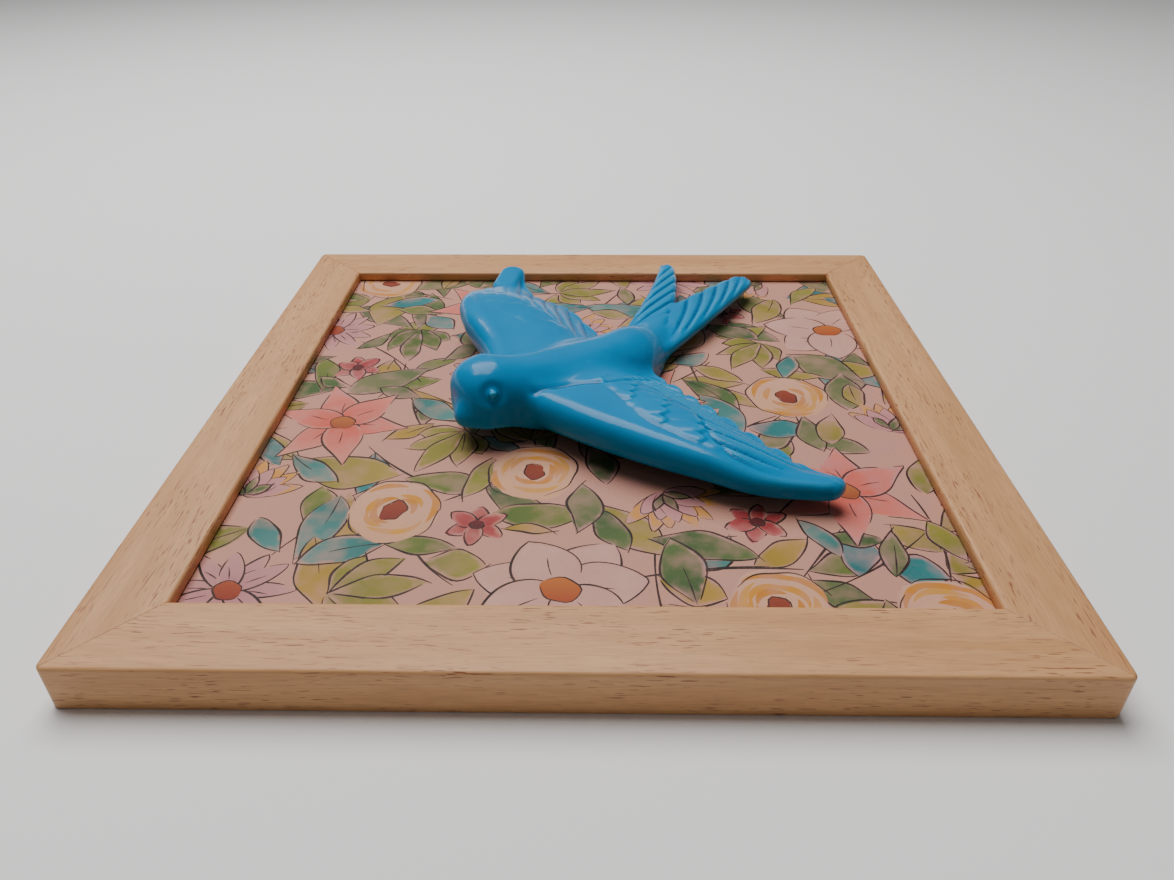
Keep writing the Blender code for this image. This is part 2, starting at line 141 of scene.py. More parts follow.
def keep_values(piece, name, kind, domain, values):
    """Stores one value or vector for each point or face corner of the mesh, for its material to read."""
    kept = piece.data.attributes.new(name, kind, domain)
    field = {"FLOAT": "value", "FLOAT_VECTOR": "vector", "FLOAT_COLOR": "color"}[kind]
    kept.data.foreach_set(field, np.asarray(values, np.float32).ravel())


def colour(code):
    """An sRGB hex colour as linear red, green, blue and alpha."""
    parts = np.array([int(code[i:i + 2], 16) for i in (1, 3, 5)]) / 255
    linear = np.where(parts <= 0.04045, parts / 12.92, ((parts + 0.055) / 1.055) ** 2.4)
    return (*linear.tolist(), 1.0)


def add(material, kind, inputs=None, **settings):
    """Adds a node with its settings. An input is a number or colour to set, or an output to link to it."""
    node = material.node_tree.nodes.new(kind)
    for name, value in settings.items():
        setattr(node, name, value)
    for name, value in (inputs or {}).items():
        if isinstance(value, bpy.types.NodeSocket):
            material.node_tree.links.new(value, node.inputs[name])
        else:
            node.inputs[name].default_value = value
    return node


def new_material(name):
    """A new material and its shader."""
    material = bpy.data.materials.new(name)
    material.use_nodes = True
    return material, material.node_tree.nodes["Principled BSDF"]


def link(material, source, target):
    """Links an output to an input."""
    material.node_tree.links.new(source, target)


def oiled_ayous():
    """Ayous, planed and thinly oiled: broad pale bands, a fine straight fibre and short dashes of pores."""
    wood, shader = new_material("oiled_ayous")
    place = add(wood, "ShaderNodeAttribute", attribute_name="grain").outputs["Vector"]
    # each pattern: its length along the grain and its width across it, in millimetres
    patterns = {}
    for name, length, width, detail in (("band", 90, 7, 2), ("fibre", 11, 0.5, 3), ("pore", 5.0, 0.42, 1),
                                        ("patch", 30, 9, 1)):
        size = (1 / length, 1 / width, 1 / width)
        spread = add(wood, "ShaderNodeVectorMath", {0: place, 1: size}, operation="MULTIPLY").outputs[0]
        patterns[name] = add(wood, "ShaderNodeTexNoise", {"Vector": spread, "Scale": 1.0, "Detail": detail,
                                                          "Roughness": 0.55, "Distortion": 0.1}).outputs[0]
    band = add(wood, "ShaderNodeMapRange", {"Value": patterns["band"], "From Min": 0.35, "From Max": 0.65})
    base = add(wood, "ShaderNodeMix", {0: band.outputs[0], 6: colour("#DCA672"), 7: colour("#CC9460")},
               data_type="RGBA")
    fibre = add(wood, "ShaderNodeMapRange", {"Value": patterns["fibre"], "From Min": 0.38, "From Max": 0.62,
                                             "To Min": 0.0, "To Max": 0.35})
    streaked = add(wood, "ShaderNodeMix", {0: fibre.outputs[0], 6: base.outputs[2], 7: colour("#AC7A52")},
                   data_type="RGBA")
    pore = add(wood, "ShaderNodeMapRange", {"Value": patterns["pore"], "From Min": 0.60, "From Max": 0.68},
               interpolation_type="SMOOTHSTEP")
    patch = add(wood, "ShaderNodeMapRange", {"Value": patterns["patch"], "From Min": 0.42, "From Max": 0.60,
                                             "To Min": 0.15, "To Max": 0.8})
    open_pore = add(wood, "ShaderNodeMath", {0: pore.outputs[0], 1: patch.outputs[0]}, operation="MULTIPLY")
    dashed = add(wood, "ShaderNodeMix", {0: open_pore.outputs[0], 6: streaked.outputs[2],
                                         7: colour("#83402A")}, data_type="RGBA")
    link(wood, dashed.outputs[2], shader.inputs["Base Color"])
    relief = add(wood, "ShaderNodeMath", {0: open_pore.outputs[0], 1: -1.0, 2: patterns["fibre"]},
                 operation="MULTIPLY_ADD")
    bump = add(wood, "ShaderNodeBump", {"Height": relief.outputs[0], "Strength": 0.35, "Distance": 0.12 * MM})
    link(wood, bump.outputs[0], shader.inputs["Normal"])
    shader.inputs["Roughness"].default_value = 0.52
    shader.inputs["IOR"].default_value = 1.48
    return wood


wood = oiled_ayous()
section = moulding()
for quarter, node in enumerate(RAILS):
    points, grain = rail_points(section, quarter)
    rail = new_piece("wood_" + node, points, tube_faces(points.shape[0], len(section)), wood)
    rail.data.set_sharp_from_angle(angle=math.radians(50))
    keep_values(rail, "grain", "FLOAT_VECTOR", "POINT", grain)
    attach(rail, "root")
    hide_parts(node)


# The tile: one flat square piece with a matte face. The picture on it is printed, a loose watercolour of
# garden flowers and leaves on dusty pink with broken ink lines, so it has colour and no relief. The drawing
# is worked out in millimetres on the face, shape over shape, and cut into one flat sheet of faces.

OPENING_HALF = FRAME_HALF - RAIL_WIDTH
DRAWN_HALF = OPENING_HALF + 0.4
GROUND = "#C68E7A"
TILE_BODY = "#CFC4B8"
INK = "#1E0C08"
# widths of the ink lines, and how far a leaf's ink may slip off its wash, in millimetres
LEAF_INK = (0.46, 0.66)
PETAL_INK = (0.44, 0.60)
RIB_INK = 0.36
VEIN_INK = 0.34
DISC_INK = 0.42
STEM_INK = 0.6
LEAF_SLIP = 0.5
# the sheet's own points: how far apart, how far off an even grid, and the rim distance of the bare ground
SHEET_STEP = 2.4
SHEET_UNEVEN = 0.4
NO_RIM = 9.0
draw = np.random.default_rng(41)
shapes = []


def paint(outline, near, far, start=(0.0, 0.0), way=(0.0, 1.0), length=1.0, ink=0.0, watery=1.0):
    """Adds a shape to the drawing. Its colour goes from near to far with the distance from start along way,
    and the more watery it is, the more it thins in clouds and towards its rim."""
    shapes.append({
        "outline": np.asarray(outline, float), "ink": ink, "start": np.asarray(start, float),
        "way": np.asarray(way, float), "length": length, "near": (*colour(near)[:3], watery),
        "far": (*colour(far)[:3], watery),
    })


def turned(points, angle, place):
    """Points turned by an angle about the origin and moved to a place."""
    cos, sin = math.cos(angle), math.sin(angle)
    x, y = points[:, 0], points[:, 1]
    return np.stack([x * cos - y * sin + place[0], x * sin + y * cos + place[1]], 1)


def stroke(path, width):
    """An ink line along a path: its two sides lie half its width off, and it thins to each end and wavers."""
    path = np.asarray(path, float)
    if len(path) < 3:
        return
    step = np.gradient(path, axis=0)
    step /= np.maximum(np.linalg.norm(step, axis=1, keepdims=True), 1e-9)
    side = np.stack([-step[:, 1], step[:, 0]], 1)
    share = np.linspace(0, 1, len(path))
    pressure = 0.35 + 0.65 * np.sin(math.pi * share) ** 0.5
    pressure = pressure * (1 + 0.25 * np.sin(share * 9 + draw.uniform(0, 6)))
    half = (width * 0.5 * pressure)[:, None]
    paint(np.concatenate([path + side * half, (path - side * half)[::-1]]), INK, INK, ink=1.0)


def resampled(path, spacing):
    """The same path with points at even spacing along it."""
    run = np.concatenate([[0], np.cumsum(np.linalg.norm(np.diff(path, axis=0), axis=1))])
    count = max(int(run[-1] / spacing), 3)
    at = np.linspace(0, run[-1], count + 1)
    return np.stack([np.interp(at, run, path[:, 0]), np.interp(at, run, path[:, 1])], 1)


def ink_outline(outline, width, breaks, slip=0.25):
    """Ink strokes along a closed outline, slipped a little off the wash, with a gap between strokes."""
    loop = resampled(np.concatenate([outline, outline[:1]]), 1.5)
    loop = loop + draw.uniform(-slip, slip, 2)
    loop = loop + slip * 0.5 * np.sin(np.linspace(0, 5, len(loop)) + draw.uniform(0, 6))[:, None]
    marks = np.sort(draw.uniform(0, 1, breaks))
    for n in range(breaks):
        start, end = marks[n] + 0.02, (marks[(n + 1) % breaks] + (1 if n == breaks - 1 else 0)) - 0.03
        if end - start > 0.08:
            at = (np.arange(int(start * len(loop)), int(end * len(loop)))) % len(loop)
            stroke(loop[at], width)


def petal_outline(length, width, tip=0.0, waist=0.18, count=13):
    """A petal from the origin along +Y. Its half width is its waist plus the sine of the share along it, and
    a tip above 0 notches its end, below 0 points it."""
    share = np.linspace(0, 1, count)
    narrow = waist * (1 - share)
    half = width / 2 * (narrow + (1 - narrow) * np.sin(math.pi * share ** 0.8) ** 0.75)
    along = length * (share - tip * np.exp(-((1 - share) / 0.12) ** 2))
    left = np.stack([-half, along], 1)
    right = np.stack([half, along], 1)[::-1]
    outline = np.concatenate([left, right[1:]])
    if tip < 0:
        outline[count - 1, 1] += -tip * length
    return outline


def leaf(place, angle, length, width, dark, light, bend=0.0, ribs=0.3):
    """A leaf: each half width is the sine of the share along it, its midline bowed aside as a parabola. Its
    ink is one free stroke up each side, slipped off the wash and run on past the tip, and at times one up
    the middle."""
    share = np.linspace(0, 1, 14)
    swell = width / 2 * np.sin(math.pi * share ** draw.uniform(0.75, 1.35)) ** 0.9
    bow = bend * length * 4 * share * (1 - share)
    sides = []
    for hand in (-1, 1):
        waver = draw.uniform(0.85, 1.15) + 0.10 * np.sin(share * draw.uniform(6, 11) + draw.uniform(0, 6))
        sides.append(turned(np.stack([bow + hand * swell * waver, share * length], 1), angle, place))
    way = (-math.sin(angle), math.cos(angle))
    paint(np.concatenate([sides[0], sides[1][-2:0:-1]]), dark, light, place, way, length)
    for side in sides:
        line = resampled(side, 1.4)
        line = np.concatenate([line, line[-1:] + (line[-1] - line[-2]) * draw.uniform(0.2, 1.4)])
        line = line + draw.uniform(-LEAF_SLIP, LEAF_SLIP, 2)
        first, last = draw.uniform(0, 0.10) * len(line), draw.uniform(0.86, 1.0) * len(line)
        stroke(line[int(first):int(last) + 1], draw.uniform(*LEAF_INK))
    if draw.uniform() < ribs:
        middle = np.stack([bow, share * length], 1)[: int(draw.integers(7, 11))]
        stroke(resampled(turned(middle, angle, place), 1.2), RIB_INK)


def flower(place, petals, length, width, near, far, centre, tip=0.0, turn=0.0, squeeze=1.0, veins=1):
    """Petals round a centre, every second one first so that the others lie over them, and ink on each."""
    order = list(range(0, petals, 2)) + list(range(1, petals, 2))
    for n in order:
        angle = turn + 2 * math.pi * n / petals + draw.uniform(-0.09, 0.09)
        long = length * draw.uniform(0.92, 1.08)
        outline = petal_outline(long, width * draw.uniform(0.92, 1.1), tip)
        outline = turned(outline, angle, (0, 0)) * (1, squeeze) + place
        way = np.array([-math.sin(angle), math.cos(angle) * squeeze])
        paint(outline, near, far, place, way / np.linalg.norm(way), long)
        ink_outline(outline, draw.uniform(*PETAL_INK), int(draw.integers(1, 3)), 0.35)
        for _ in range(veins):
            lean = draw.uniform(-0.12, 0.12)
            vein = np.stack([lean * long * np.linspace(0.3, 1, 6) ** 2, long * np.linspace(0.28, 0.6, 6)], 1)
            stroke(turned(vein, angle, (0, 0)) * (1, squeeze) + place, VEIN_INK)
    disc(place, *centre, squeeze)


def disc(place, radius, near, far, squeeze=1.0, wobble=0.08, ink=True):
    """A round blob: its radius wavers with the angle."""
    angle = np.linspace(0, 2 * math.pi, 26)[:-1]
    start = draw.uniform(0, 6, 2)
    reach = radius * (1 + wobble * np.sin(2 * angle + start[0]) + wobble * 0.6 * np.sin(5 * angle + start[1]))
    outline = np.stack([reach * np.cos(angle), reach * np.sin(angle) * squeeze], 1) + place
    paint(outline, near, far, np.asarray(place) - (0, radius), (0, 1), 2 * radius, watery=0.0 if ink else 0.6)
    if ink:
        ink_outline(outline, DISC_INK, 1)


def ring_rose(place, radius):
    """A round blossom of washed rings: wide broken strokes at shrinking radii round a brown centre."""
    disc(place, radius, "#D49C74", "#D4A084", wobble=0.06, ink=False)
    for ring, shade in ((0.88, "#C87E08"), (0.72, "#D09228"), (0.56, "#CC8818"), (0.42, "#C27A10")):
        for _ in range(3):
            start = draw.uniform(0, 2 * math.pi)
            angle = np.linspace(start, start + draw.uniform(0.9, 1.9), 14)
            reach = radius * ring * (1 + 0.05 * np.sin(3 * angle + start))
            path = np.stack([np.cos(angle), np.sin(angle)], 1) * reach[:, None] + place
            side = (path - place) / np.linalg.norm(path - place, axis=1, keepdims=True)
            half = radius * 0.085 * np.sin(np.linspace(0.15, math.pi - 0.15, 14))[:, None]
            paint(np.concatenate([path + side * half, (path - side * half)[::-1]]), shade, shade, watery=0.45)
    angle = np.linspace(0, 2 * math.pi, 40)
    reach = radius * (1 + 0.05 * np.sin(2 * angle + draw.uniform(0, 6)) + 0.03 * np.sin(7 * angle))
    ink_outline(np.stack([reach * np.cos(angle), reach * np.sin(angle)], 1) + place, 0.5, 3, 0.6)
    disc(place, radius * 0.27, "#7A2612", "#8C381C", draw.uniform(0.75, 1.25), 0.16)


def fan_flower(place, angle, size):
    """A flower seen from the side: two rows of short petals spread as a fan, in a green cup of sepals."""
    for reach, near, far, count in ((1.0, "#CC7A24", "#D09440", 7), (0.78, "#B87478", "#C08684", 6)):
        for n in range(count):
            spread = angle + math.radians(-66 + 132 * n / (count - 1)) + draw.uniform(-0.05, 0.05)
            long = size * reach * draw.uniform(0.93, 1.07)
            outline = turned(petal_outline(long, size * 0.34, 0.0, 0.3), spread, place)
            paint(outline, near, far, place, (-math.sin(spread), math.cos(spread)), long)
            ink_outline(outline, VEIN_INK, 2)
    for n in range(3):
        spread = angle + math.radians(-48 + 48 * n)
        leaf(place, spread, size * 0.5, size * 0.2, "#2E4A1E", "#4E6830", ribs=0)


# the leaves' colours at stalk and tip, and each kind of flower: how many, and its radius
LEAF_WASHES = (("#646C18", "#90862E"), ("#7C7222", "#A48A3A"), ("#485C30", "#78744A"), ("#126460", "#4E8680"),
               ("#2A4C22", "#526830"), ("#947A14", "#B28836"), ("#066264", "#1E7C7E"), ("#445E1A", "#70762E"))
KINDS = (("open", 2, 22.0), ("star", 4, 18.5), ("daisy", 4, 16.0), ("rose", 7, 12.5), ("fan", 5, 16.0),
         ("frond", 6, 12.0), ("small", 5, 8.5))


def settle_flowers():
    """Chooses a place for each flower: of many random ones, the one that is furthest from all the others."""
    chosen = []
    for kind, count, radius in KINDS:
        for _ in range(count):
            tries = draw.uniform(-DRAWN_HALF, DRAWN_HALF, (260, 2))
            room = np.full(len(tries), 40.0)
            for _, place, other in chosen:
                room = np.minimum(room, np.linalg.norm(tries - place, axis=1) - other - radius)
            chosen.append((kind, tries[int(np.argmax(room))], radius))
    return chosen


def frond(place, angle, size):
    """Five blunt green fingers from one stalk, the outer ones first and the longest in the middle."""
    base = np.asarray(place) - size * np.array([-math.sin(angle), math.cos(angle)])
    dark, light = ("#3A5016", "#586826") if draw.uniform() < 0.5 else ("#707014", "#8E8030")
    for lean, long in ((-0.95, 1.15), (0.95, 1.15), (-0.48, 1.6), (0.48, 1.6), (0.0, 1.95)):
        reach = size * long * draw.uniform(0.92, 1.08)
        leaf(base, angle + lean, reach, size * 0.62, dark, light, draw.uniform(-0.06, 0.06))


# Flowers seen from the front: how many petals, how wide for their length, the petals' two colours, the
# centre's radius and two colours, and what else differs
OPEN_FLOWERS = {
    "open": (7, 0.78, "#C89486", "#D0A090", (4.8, "#9E3E14", "#BC661E"), {"squeeze": 0.92}),
    "star": (6, 0.62, "#CE4C3A", "#D8786A", (3.6, "#96401A", "#B26426"), {"tip": -0.12}),
    "daisy": (11, 0.36, "#AE6E74", "#C48A86", (3.6, "#84260E", "#A0441C"), {"squeeze": 0.95}),
    "small": (6, 0.62, "#8E1C20", "#B04244", (1.9, "#4E0E12", "#60161A"), {"veins": 0}),
}


def draw_flower(kind, place, radius):
    """Draws one flower of its kind, turned at random."""
    turn = draw.uniform(0, 2 * math.pi)
    if kind in OPEN_FLOWERS:
        petals, wide, near, far, centre, more = OPEN_FLOWERS[kind]
        flower(place, petals, radius, radius * wide, near, far, centre, turn=turn, **more)
    elif kind == "rose":
        ring_rose(place, radius)
    elif kind == "fan":
        fan_flower(place, turn, radius)
    else:
        frond(place, turn, radius)


# which one-millimetre cells of the face are taken, with 15 more past each side
taken = np.zeros((2 * int(DRAWN_HALF) + 30,) * 2, bool)


def cells_of(points):
    """Which one-millimetre cells of the face the points lie in."""
    at = np.round(np.asarray(points) + taken.shape[0] / 2).astype(int)
    return np.clip(at, 0, taken.shape[0] - 1)


def leaf_cells(place, angle, length, width):
    """A spread of points over an almond, to test whether its room is free."""
    share, aside = np.meshgrid(np.linspace(0.12, 1, 9), np.linspace(-1, 1, 5))
    half = width / 2 * np.sin(math.pi * share ** 0.85) + 0.4
    spread = np.stack([(aside * half).ravel(), (share * length).ravel()], 1)
    return cells_of(turned(spread, angle, place))


def take_disc(place, radius):
    """Takes the cells within a radius of a place."""
    grid = np.stack(np.meshgrid(np.arange(taken.shape[0]), np.arange(taken.shape[0]), indexing="ij"), -1)
    off = np.linalg.norm(grid - taken.shape[0] / 2 - place, axis=-1)
    taken[off < radius] = True


def sprigs(flowers):
    """Stems that leave the flowers' edges and bow through free room, with leaves to each side by turns."""
    for _, place, radius in flowers:
        for _ in range(3):
            angle = draw.uniform(0, 2 * math.pi)
            bend = draw.uniform(-0.9, 0.9)
            stem = []
            at = np.asarray(place) + radius * 0.9 * np.array([-math.sin(angle), math.cos(angle)])
            for n in range(11):
                stem.append(at)
                at = at + 4.0 * np.array([-math.sin(angle), math.cos(angle)])
                angle += bend * 0.12
                cell = cells_of(at)
                if taken[cell[0], cell[1]]:
                    break
            if len(stem) < 4:
                continue
            leaves = 0
            wash = LEAF_WASHES[int(draw.integers(len(LEAF_WASHES)))]
            for n in range(1, len(stem) - 1, 2):
                step = stem[n + 1] - stem[n]
                heading = math.atan2(-step[0], step[1])
                side = 1 if (n // 2) % 2 else -1
                leaves += try_leaf(stem[n], heading + side * draw.uniform(0.6, 0.95), draw.uniform(15, 23),
                                   draw.uniform(7.0, 10.5), wash)
            if leaves:
                stroke(resampled(np.array(stem), 1.4), STEM_INK)


def try_leaf(place, angle, length, width, wash):
    """Draws a leaf if most of its room is free, and takes that room."""
    cells = leaf_cells(place, angle, length, width)
    if taken[cells[:, 0], cells[:, 1]].mean() > 0.10:
        return 0
    taken[cells[:, 0], cells[:, 1]] = True
    leaf(place, angle, length, width, wash[0], wash[1], draw.uniform(-0.09, 0.09))
    return 1


def fill_with_leaves():
    """Leaves of falling size wherever there is still room for one."""
    for size, tries in ((28, 1500), (24, 1800), (20, 2400), (16, 2400)):
        for _ in range(tries):
            place = draw.uniform(-DRAWN_HALF, DRAWN_HALF, 2)
            wash = LEAF_WASHES[int(draw.integers(len(LEAF_WASHES)))]
            length = size * draw.uniform(0.85, 1.15)
            try_leaf(place, draw.uniform(0, 2 * math.pi), length, length * draw.uniform(0.36, 0.54), wash)


flowers = settle_flowers()
for _, place, radius in flowers:
    take_disc(place, radius * 0.9)
sprigs(flowers)
fill_with_leaves()
for kind, place, radius in flowers:
    draw_flower(kind, place, radius)


def inside(points, outline):
    """Which points lie inside a closed outline: a ray to the right crosses it an odd number of times."""
    x, y = points[:, 0][:, None], points[:, 1][:, None]
    x0, y0 = outline[:, 0], outline[:, 1]
    x1, y1 = np.roll(x0, -1), np.roll(y0, -1)
    spans = (y0 > y) != (y1 > y)
    rise = np.where(y1 == y0, 1e-12, y1 - y0)
    hit = x < x0 + (y - y0) / rise * (x1 - x0)
    return (spans & hit).sum(1) % 2 == 1


def rim_distance(points, outline):
    """How far each point lies from the outline, as the least distance to any of its straight pieces."""
    a, b = outline, np.roll(outline, -1, 0)
    run = b - a
    part = ((points[:, None] - a) * run).sum(-1) / np.maximum((run**2).sum(-1), 1e-12)
    nearest = a + np.clip(part, 0, 1)[..., None] * run
    return np.sqrt(((points[:, None] - nearest) ** 2).sum(-1)).min(1)


def picture_sheet():
    """The face cut along every outline, and each piece given to the topmost shape over it."""
    grid = np.arange(-DRAWN_HALF, DRAWN_HALF + 0.1, SHEET_STEP)
    spread = np.stack(np.meshgrid(grid, grid, indexing="ij"), -1).reshape(-1, 2)
    spread = spread + draw.uniform(-SHEET_UNEVEN, SHEET_UNEVEN, spread.shape)
    spread = spread[np.abs(spread).max(1) < DRAWN_HALF - 0.5]
    square = np.array([(-1, -1), (1, -1), (1, 1), (-1, 1)]) * PANEL_HALF
    verts = [square, spread]
    edges = [(0, 1), (1, 2), (2, 3), (3, 0)]
    count = 4 + len(spread)
    for shape in shapes:
        line = np.clip(shape["outline"], -DRAWN_HALF, DRAWN_HALF)
        shape["outline"] = line
        size = len(line)
        verts.append(line)
        edges += [(count + n, count + (n + 1) % size) for n in range(size)]
        count += size
    flat = np.concatenate(verts)
    points, _, faces, _, _, _ = delaunay_2d_cdt(flat.tolist(), edges, [], 0, 1e-5, False)
    points = np.array([tuple(p) for p in points])
    faces = np.array([f for f in faces if len(f) == 3])
    return points, faces


def topmost(points, faces):
    """For each face, the number of the last drawn shape that covers its middle, or -1 for the bare ground."""
    middles = points[faces].mean(1)
    order = np.argsort(middles[:, 0])
    ranked = middles[order]
    owner = np.full(len(faces), -1)
    for number, shape in enumerate(shapes):
        low, high = shape["outline"].min(0), shape["outline"].max(0)
        first, last = np.searchsorted(ranked[:, 0], (low[0], high[0]))
        near = np.arange(first, last)
        near = near[(ranked[near, 1] >= low[1]) & (ranked[near, 1] <= high[1])]
        near = near[inside(ranked[near], shape["outline"])]
        owner[order[near]] = number
    return owner


def painted(points, faces, owner):
    """The colour and wateriness, the distance to the rim in millimetres and the ink at each face corner."""
    wash = np.tile(np.array(colour(GROUND)), (len(faces), 3, 1))
    rim = np.full((len(faces), 3), NO_RIM)
    ink = np.zeros((len(faces), 3))
    by_owner = np.argsort(owner, kind="stable")
    starts = np.searchsorted(owner[by_owner], np.arange(len(shapes) + 1))
    for number, shape in enumerate(shapes):
        mine = by_owner[starts[number]:starts[number + 1]]
        if len(mine) == 0:
            continue
        corners = points[faces[mine]].reshape(-1, 2)
        share = np.clip(((corners - shape["start"]) @ shape["way"]) / shape["length"], 0, 1)[:, None]
        wash[mine] = (shape["near"] + (np.array(shape["far"]) - shape["near"]) * share).reshape(-1, 3, 4)
        rim[mine] = rim_distance(corners, shape["outline"]).reshape(-1, 3)
        ink[mine] = shape["ink"]
    return wash, rim, ink


def printed_face():
    """A matte printed ceramic face: watercolour that thins in clouds and bleeds out at its rims, dry ink, and
    a fine grain. The grain is drawn coarser than a real print's, so that it shows."""
    print_, shader = new_material("printed_matte_ceramic")
    place = add(print_, "ShaderNodeTexCoord").outputs["Object"]
    painted_on = add(print_, "ShaderNodeAttribute", attribute_name="wash")
    wash, watery = painted_on.outputs["Color"], painted_on.outputs["Alpha"]
    rim = add(print_, "ShaderNodeAttribute", attribute_name="rim").outputs["Fac"]
    ink = add(print_, "ShaderNodeAttribute", attribute_name="ink").outputs["Fac"]
    # each pattern's size in millimetres, and its detail
    cloud, blot, grit, wide = (
        add(print_, "ShaderNodeTexNoise", {"Vector": place, "Scale": 1 / (size * MM),
                                           "Detail": detail}).outputs[0]
        for size, detail in ((7.7, 3.0), (4.76, 2.0), (0.714, 2.0), (62.5, 2.0)))
    thin = add(print_, "ShaderNodeMapRange", {"Value": cloud, "From Min": 0.42, "From Max": 0.70,
                                              "To Min": 0.0, "To Max": 0.42})
    cloudy = add(print_, "ShaderNodeMath", {0: thin.outputs[0], 1: watery}, operation="MULTIPLY")
    tint = add(print_, "ShaderNodeMapRange", {"Value": wide, "From Min": 0.38, "From Max": 0.62})
    ground = add(print_, "ShaderNodeMix", {0: tint.outputs[0], 6: colour(GROUND), 7: colour("#C28886")},
                 data_type="RGBA").outputs[2]
    thinned = add(print_, "ShaderNodeMix", {0: cloudy.outputs[0], 6: wash, 7: ground}, data_type="RGBA")
    edge = add(print_, "ShaderNodeMapRange", {"Value": rim, "From Min": 0.0, "From Max": 1.4, "To Min": 1.0,
                                              "To Max": 0.0}, interpolation_type="SMOOTHSTEP")
    bleed = add(print_, "ShaderNodeMapRange", {"Value": blot, "From Min": 0.40, "From Max": 0.60,
                                               "To Min": 0.05, "To Max": 0.85})
    worn = add(print_, "ShaderNodeMath", {0: edge.outputs[0], 1: bleed.outputs[0]}, operation="MULTIPLY")
    faded = add(print_, "ShaderNodeMath", {0: worn.outputs[0], 1: watery}, operation="MULTIPLY")
    pooled = add(print_, "ShaderNodeMix", {0: faded.outputs[0], 6: thinned.outputs[2], 7: ground},
                 data_type="RGBA")
    fleck = add(print_, "ShaderNodeMapRange", {"Value": grit, "From Min": 0.35, "From Max": 0.7,
                                               "To Min": 0.0, "To Max": 0.10})
    flecked = add(print_, "ShaderNodeMix", {0: fleck.outputs[0], 6: pooled.outputs[2], 7: colour("#8E6A62")},
                  data_type="RGBA")
    dry = add(print_, "ShaderNodeMapRange", {"Value": grit, "From Min": 0.30, "From Max": 0.62, "To Min": 1.0,
                                             "To Max": 0.86})
    inked = add(print_, "ShaderNodeMath", {0: dry.outputs[0], 1: ink}, operation="MULTIPLY")
    drawn = add(print_, "ShaderNodeMix", {0: inked.outputs[0], 6: flecked.outputs[2], 7: colour(INK)},
                data_type="RGBA")
    link(print_, drawn.outputs[2], shader.inputs["Base Color"])
    bump = add(print_, "ShaderNodeBump", {"Height": grit, "Strength": 0.25, "Distance": 0.03 * MM})
    link(print_, bump.outputs[0], shader.inputs["Normal"])
    shader.inputs["Roughness"].default_value = 0.68
    shader.inputs["Specular IOR Level"].default_value = 0.35
    return print_


points, faces = picture_sheet()
owner = topmost(points, faces)
wash, rim, ink = painted(points, faces, owner)
top = np.column_stack([points, np.full(len(points), PANEL_FACE)])
corner_at = [int(np.argmin(np.linalg.norm(points - np.array(c) * PANEL_HALF, axis=1)))
             for c in ((-1, -1), (1, -1), (1, 1), (-1, 1))]
back = top[corner_at] * (1, 1, 0)
first_back = len(top)
walls = [[corner_at[(n + 1) % 4], corner_at[n], first_back + n, first_back + (n + 1) % 4] for n in range(4)]
under = [[first_back + n for n in (3, 2, 1, 0)]]
tile_faces = faces.tolist() + walls + under
tile = new_piece("printed_tile", np.concatenate([top, back]), tile_faces, printed_face(), smooth=False)
spare = len(tile.data.loops) - 3 * len(faces)
keep_values(tile, "wash", "FLOAT_COLOR", "CORNER",
            np.concatenate([wash.reshape(-1, 4), np.tile(colour(TILE_BODY), (spare, 1))]))
keep_values(tile, "rim", "FLOAT", "CORNER", np.concatenate([rim.ravel(), np.full(spare, NO_RIM)]))
keep_values(tile, "ink", "FLOAT", "CORNER", np.concatenate([ink.ravel(), np.zeros(spare)]))
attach(tile, "root")
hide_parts("tile_panel")


# The swallow: one slip-cast white earthenware piece, its feathers pressed in by the mould, dipped in a thick
# turquoise glaze and fired glossy. Its colour is darker in the grooves and paler on the ridges, partly as the
# glaze pooling and thinning and partly as painted shade in the grooves and painted highlight on the ridges.
# It is fixed to the tile by its belly. s runs from the head to the tail, t towards its left wing, h up from
# the tile.

swallow_low, swallow_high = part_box("swallow")
SEAT = swallow_low.z / MM
BODY_TURN = math.radians(36.0)
HEAD_PLACE = (-28.0, -16.0)

# The body at these places along s: how far it bends aside, the height of its middle and its radius. Then how
# blunt the head is, how high its underside lies and where that comes down to the panel, the edge of the back
# over the tail (its place, slant and bend) and its step, and how steep and flat the body's section is
BODY_S = (0, 10, 24, 40, 55, 66, 78)
BODY_ASIDE = (-0.6, 1.0, 1.0, -0.7, -3.8, -9.0, -17.0)
BODY_HEIGHT = (13.5, 10.4, 7.5, 6.0, 4.6, 3.2, 3.0)
BODY_RADIUS = (11.5, 11.9, 13.0, 12.3, 11.2, 8.3, 5.0)
HEAD_BLUNT = 2.6
HEAD_UNDER = 6.6
NECK_S = (-6, 18)
RUMP_EDGE = (62.5, 0.45, 0.03)
RUMP_STEP = 0.8
BODY_STEEP = (0.3, 0.4)
BODY_FLAT = 0.92
BEAK = (-11.0, 2.3, 9.6)
BEAK_RADIUS = 2.5
EYES = ((-5.0, 9.3, 18.0), (-3.4, -10.6, 15.4))
EYE_RADIUS = 1.7

